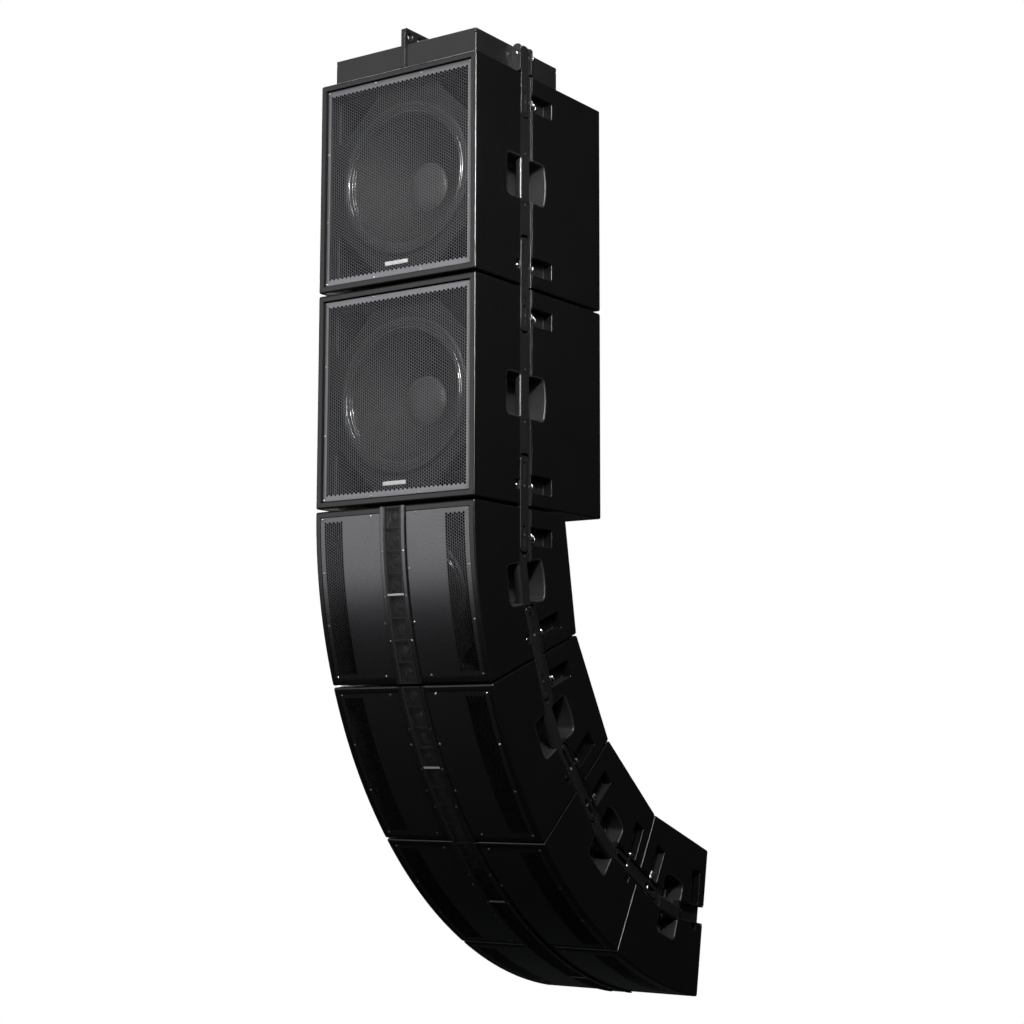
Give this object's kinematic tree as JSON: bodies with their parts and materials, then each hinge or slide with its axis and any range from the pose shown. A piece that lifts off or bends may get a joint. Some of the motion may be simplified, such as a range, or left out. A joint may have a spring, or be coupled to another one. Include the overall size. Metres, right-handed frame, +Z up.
{
  "type": "line array speaker",
  "caption": "Flown loudspeaker column: fly frame, square-fronted subwoofers above, then wedge-shaped array boxes curving back, joined by pinned side links.",
  "frame": {"origin": "centre of the middle shackle hole of the pick-up bar", "axes": "+X to the right as seen from the front, +Y from the front to the back, +Z up"},
  "size_m": [0.58, 1.333, 2.9342],
  "materials": {
    "cabinet_paint": "black textured polyurea coat on plywood, satin",
    "grille_steel": "powder-coated perforated steel, satin",
    "front_panel_steel": "powder-coated steel, satin, with perforated side strips",
    "hf_black": "black trim with a fine steel mesh",
    "driver_metal": "black painted steel and ferrite",
    "cone_paper": "pressed paper pulp with a cloth surround",
    "rigging_steel": "black powder-coated structural steel, worn at its edges",
    "link_steel": "black e-coated flat bar",
    "pin_steel": "bright zinc-plated steel"
  },
  "bodies": {
    "column": {"fly_frame": "rigging_steel", "pickup_bar": "rigging_steel", "sub_1_cabinet": "cabinet_paint", "sub_1_rigging_frame": "rigging_steel", "sub_1_woofer_chassis": "driver_metal", "sub_1_grille": "grille_steel", "sub_2_cabinet": "cabinet_paint", "sub_2_rigging_frame": "rigging_steel", "sub_2_woofer_chassis": "driver_metal", "sub_2_grille": "grille_steel", "array_1_cabinet": "cabinet_paint", "array_1_rigging_frame": "rigging_steel", "array_1_woofer_chassis": "driver_metal", "array_1_front_panel": "front_panel_steel", "array_1_hf_column": "hf_black", "array_2_cabinet": "cabinet_paint", "array_2_rigging_frame": "rigging_steel", "array_2_woofer_chassis": "driver_metal", "array_2_front_panel": "front_panel_steel", "array_2_hf_column": "hf_black", "array_3_cabinet": "cabinet_paint", "array_3_rigging_frame": "rigging_steel", "array_3_woofer_chassis": "driver_metal", "array_3_front_panel": "front_panel_steel", "array_3_hf_column": "hf_black", "array_4_cabinet": "cabinet_paint", "array_4_rigging_frame": "rigging_steel", "array_4_woofer_chassis": "driver_metal", "array_4_front_panel": "front_panel_steel", "array_4_hf_column": "hf_black", "sub_1_link_left": "link_steel", "sub_1_link_right": "link_steel", "sub_2_link_left": "link_steel", "sub_2_link_right": "link_steel", "array_1_link_left": "link_steel", "array_1_link_right": "link_steel", "array_2_link_left": "link_steel", "array_2_link_right": "link_steel", "array_3_link_left": "link_steel", "array_3_link_right": "link_steel", "array_4_link_left": "link_steel", "array_4_link_right": "link_steel"},
    "sub_1_cone": {"sub_1_woofer_cone": "cone_paper"},
    "sub_2_cone": {"sub_2_woofer_cone": "cone_paper"},
    "array_1_cone": {"array_1_woofer_cone": "cone_paper"},
    "array_2_cone": {"array_2_woofer_cone": "cone_paper"},
    "array_3_cone": {"array_3_woofer_cone": "cone_paper"},
    "array_4_cone": {"array_4_woofer_cone": "cone_paper"},
    "sub_1_pin_left": {"sub_1_pin_left": "pin_steel"},
    "sub_1_pin_right": {"sub_1_pin_right": "pin_steel"},
    "sub_2_pin_left": {"sub_2_pin_left": "pin_steel"},
    "sub_2_pin_right": {"sub_2_pin_right": "pin_steel"},
    "array_1_pin_left": {"array_1_pin_left": "pin_steel"},
    "array_1_pin_right": {"array_1_pin_right": "pin_steel"},
    "array_2_pin_left": {"array_2_pin_left": "pin_steel"},
    "array_2_pin_right": {"array_2_pin_right": "pin_steel"},
    "array_3_pin_left": {"array_3_pin_left": "pin_steel"},
    "array_3_pin_right": {"array_3_pin_right": "pin_steel"},
    "array_4_pin_left": {"array_4_pin_left": "pin_steel"},
    "array_4_pin_right": {"array_4_pin_right": "pin_steel"}
  },
  "joints": [
    {"name": "sub_1_cone_travel", "type": "slide", "parent": "column", "child": "sub_1_cone", "axis": [0, 1, 0], "range_m": [-0.008, 0.008], "stiffness_N_per_m": 9000},
    {"name": "sub_2_cone_travel", "type": "slide", "parent": "column", "child": "sub_2_cone", "axis": [0, 1, 0], "range_m": [-0.008, 0.008], "stiffness_N_per_m": 9000},
    {"name": "array_1_cone_travel", "type": "slide", "parent": "column", "child": "array_1_cone", "axis": [0, 0.9848, 0.1736], "range_m": [-0.006, 0.006], "stiffness_N_per_m": 6000},
    {"name": "array_2_cone_travel", "type": "slide", "parent": "column", "child": "array_2_cone", "axis": [0, 0.866, 0.5], "range_m": [-0.006, 0.006], "stiffness_N_per_m": 6000},
    {"name": "array_3_cone_travel", "type": "slide", "parent": "column", "child": "array_3_cone", "axis": [0, 0.6428, 0.766], "range_m": [-0.006, 0.006], "stiffness_N_per_m": 6000},
    {"name": "array_4_cone_travel", "type": "slide", "parent": "column", "child": "array_4_cone", "axis": [0, 0.342, 0.9397], "range_m": [-0.006, 0.006], "stiffness_N_per_m": 6000},
    {"name": "sub_1_pin_left_pull", "type": "slide", "parent": "column", "child": "sub_1_pin_left", "axis": [0, 1, 0], "range_m": [0, 0.078]},
    {"name": "sub_1_pin_right_pull", "type": "slide", "parent": "column", "child": "sub_1_pin_right", "axis": [0, 1, 0], "range_m": [0, 0.078]},
    {"name": "sub_2_pin_left_pull", "type": "slide", "parent": "column", "child": "sub_2_pin_left", "axis": [0, 1, 0], "range_m": [0, 0.078]},
    {"name": "sub_2_pin_right_pull", "type": "slide", "parent": "column", "child": "sub_2_pin_right", "axis": [0, 1, 0], "range_m": [0, 0.078]},
    {"name": "array_1_pin_left_pull", "type": "slide", "parent": "column", "child": "array_1_pin_left", "axis": [0, 1, 0], "range_m": [0, 0.078]},
    {"name": "array_1_pin_right_pull", "type": "slide", "parent": "column", "child": "array_1_pin_right", "axis": [0, 1, 0], "range_m": [0, 0.078]},
    {"name": "array_2_pin_left_pull", "type": "slide", "parent": "column", "child": "array_2_pin_left", "axis": [0, 0.9397, 0.342], "range_m": [0, 0.078]},
    {"name": "array_2_pin_right_pull", "type": "slide", "parent": "column", "child": "array_2_pin_right", "axis": [0, 0.9397, 0.342], "range_m": [0, 0.078]},
    {"name": "array_3_pin_left_pull", "type": "slide", "parent": "column", "child": "array_3_pin_left", "axis": [0, 0.766, 0.6428], "range_m": [0, 0.078]},
    {"name": "array_3_pin_right_pull", "type": "slide", "parent": "column", "child": "array_3_pin_right", "axis": [0, 0.766, 0.6428], "range_m": [0, 0.078]},
    {"name": "array_4_pin_left_pull", "type": "slide", "parent": "column", "child": "array_4_pin_left", "axis": [0, 0.5, 0.866], "range_m": [0, 0.078]},
    {"name": "array_4_pin_right_pull", "type": "slide", "parent": "column", "child": "array_4_pin_right", "axis": [0, 0.5, 0.866], "range_m": [0, 0.078]}
  ]
}
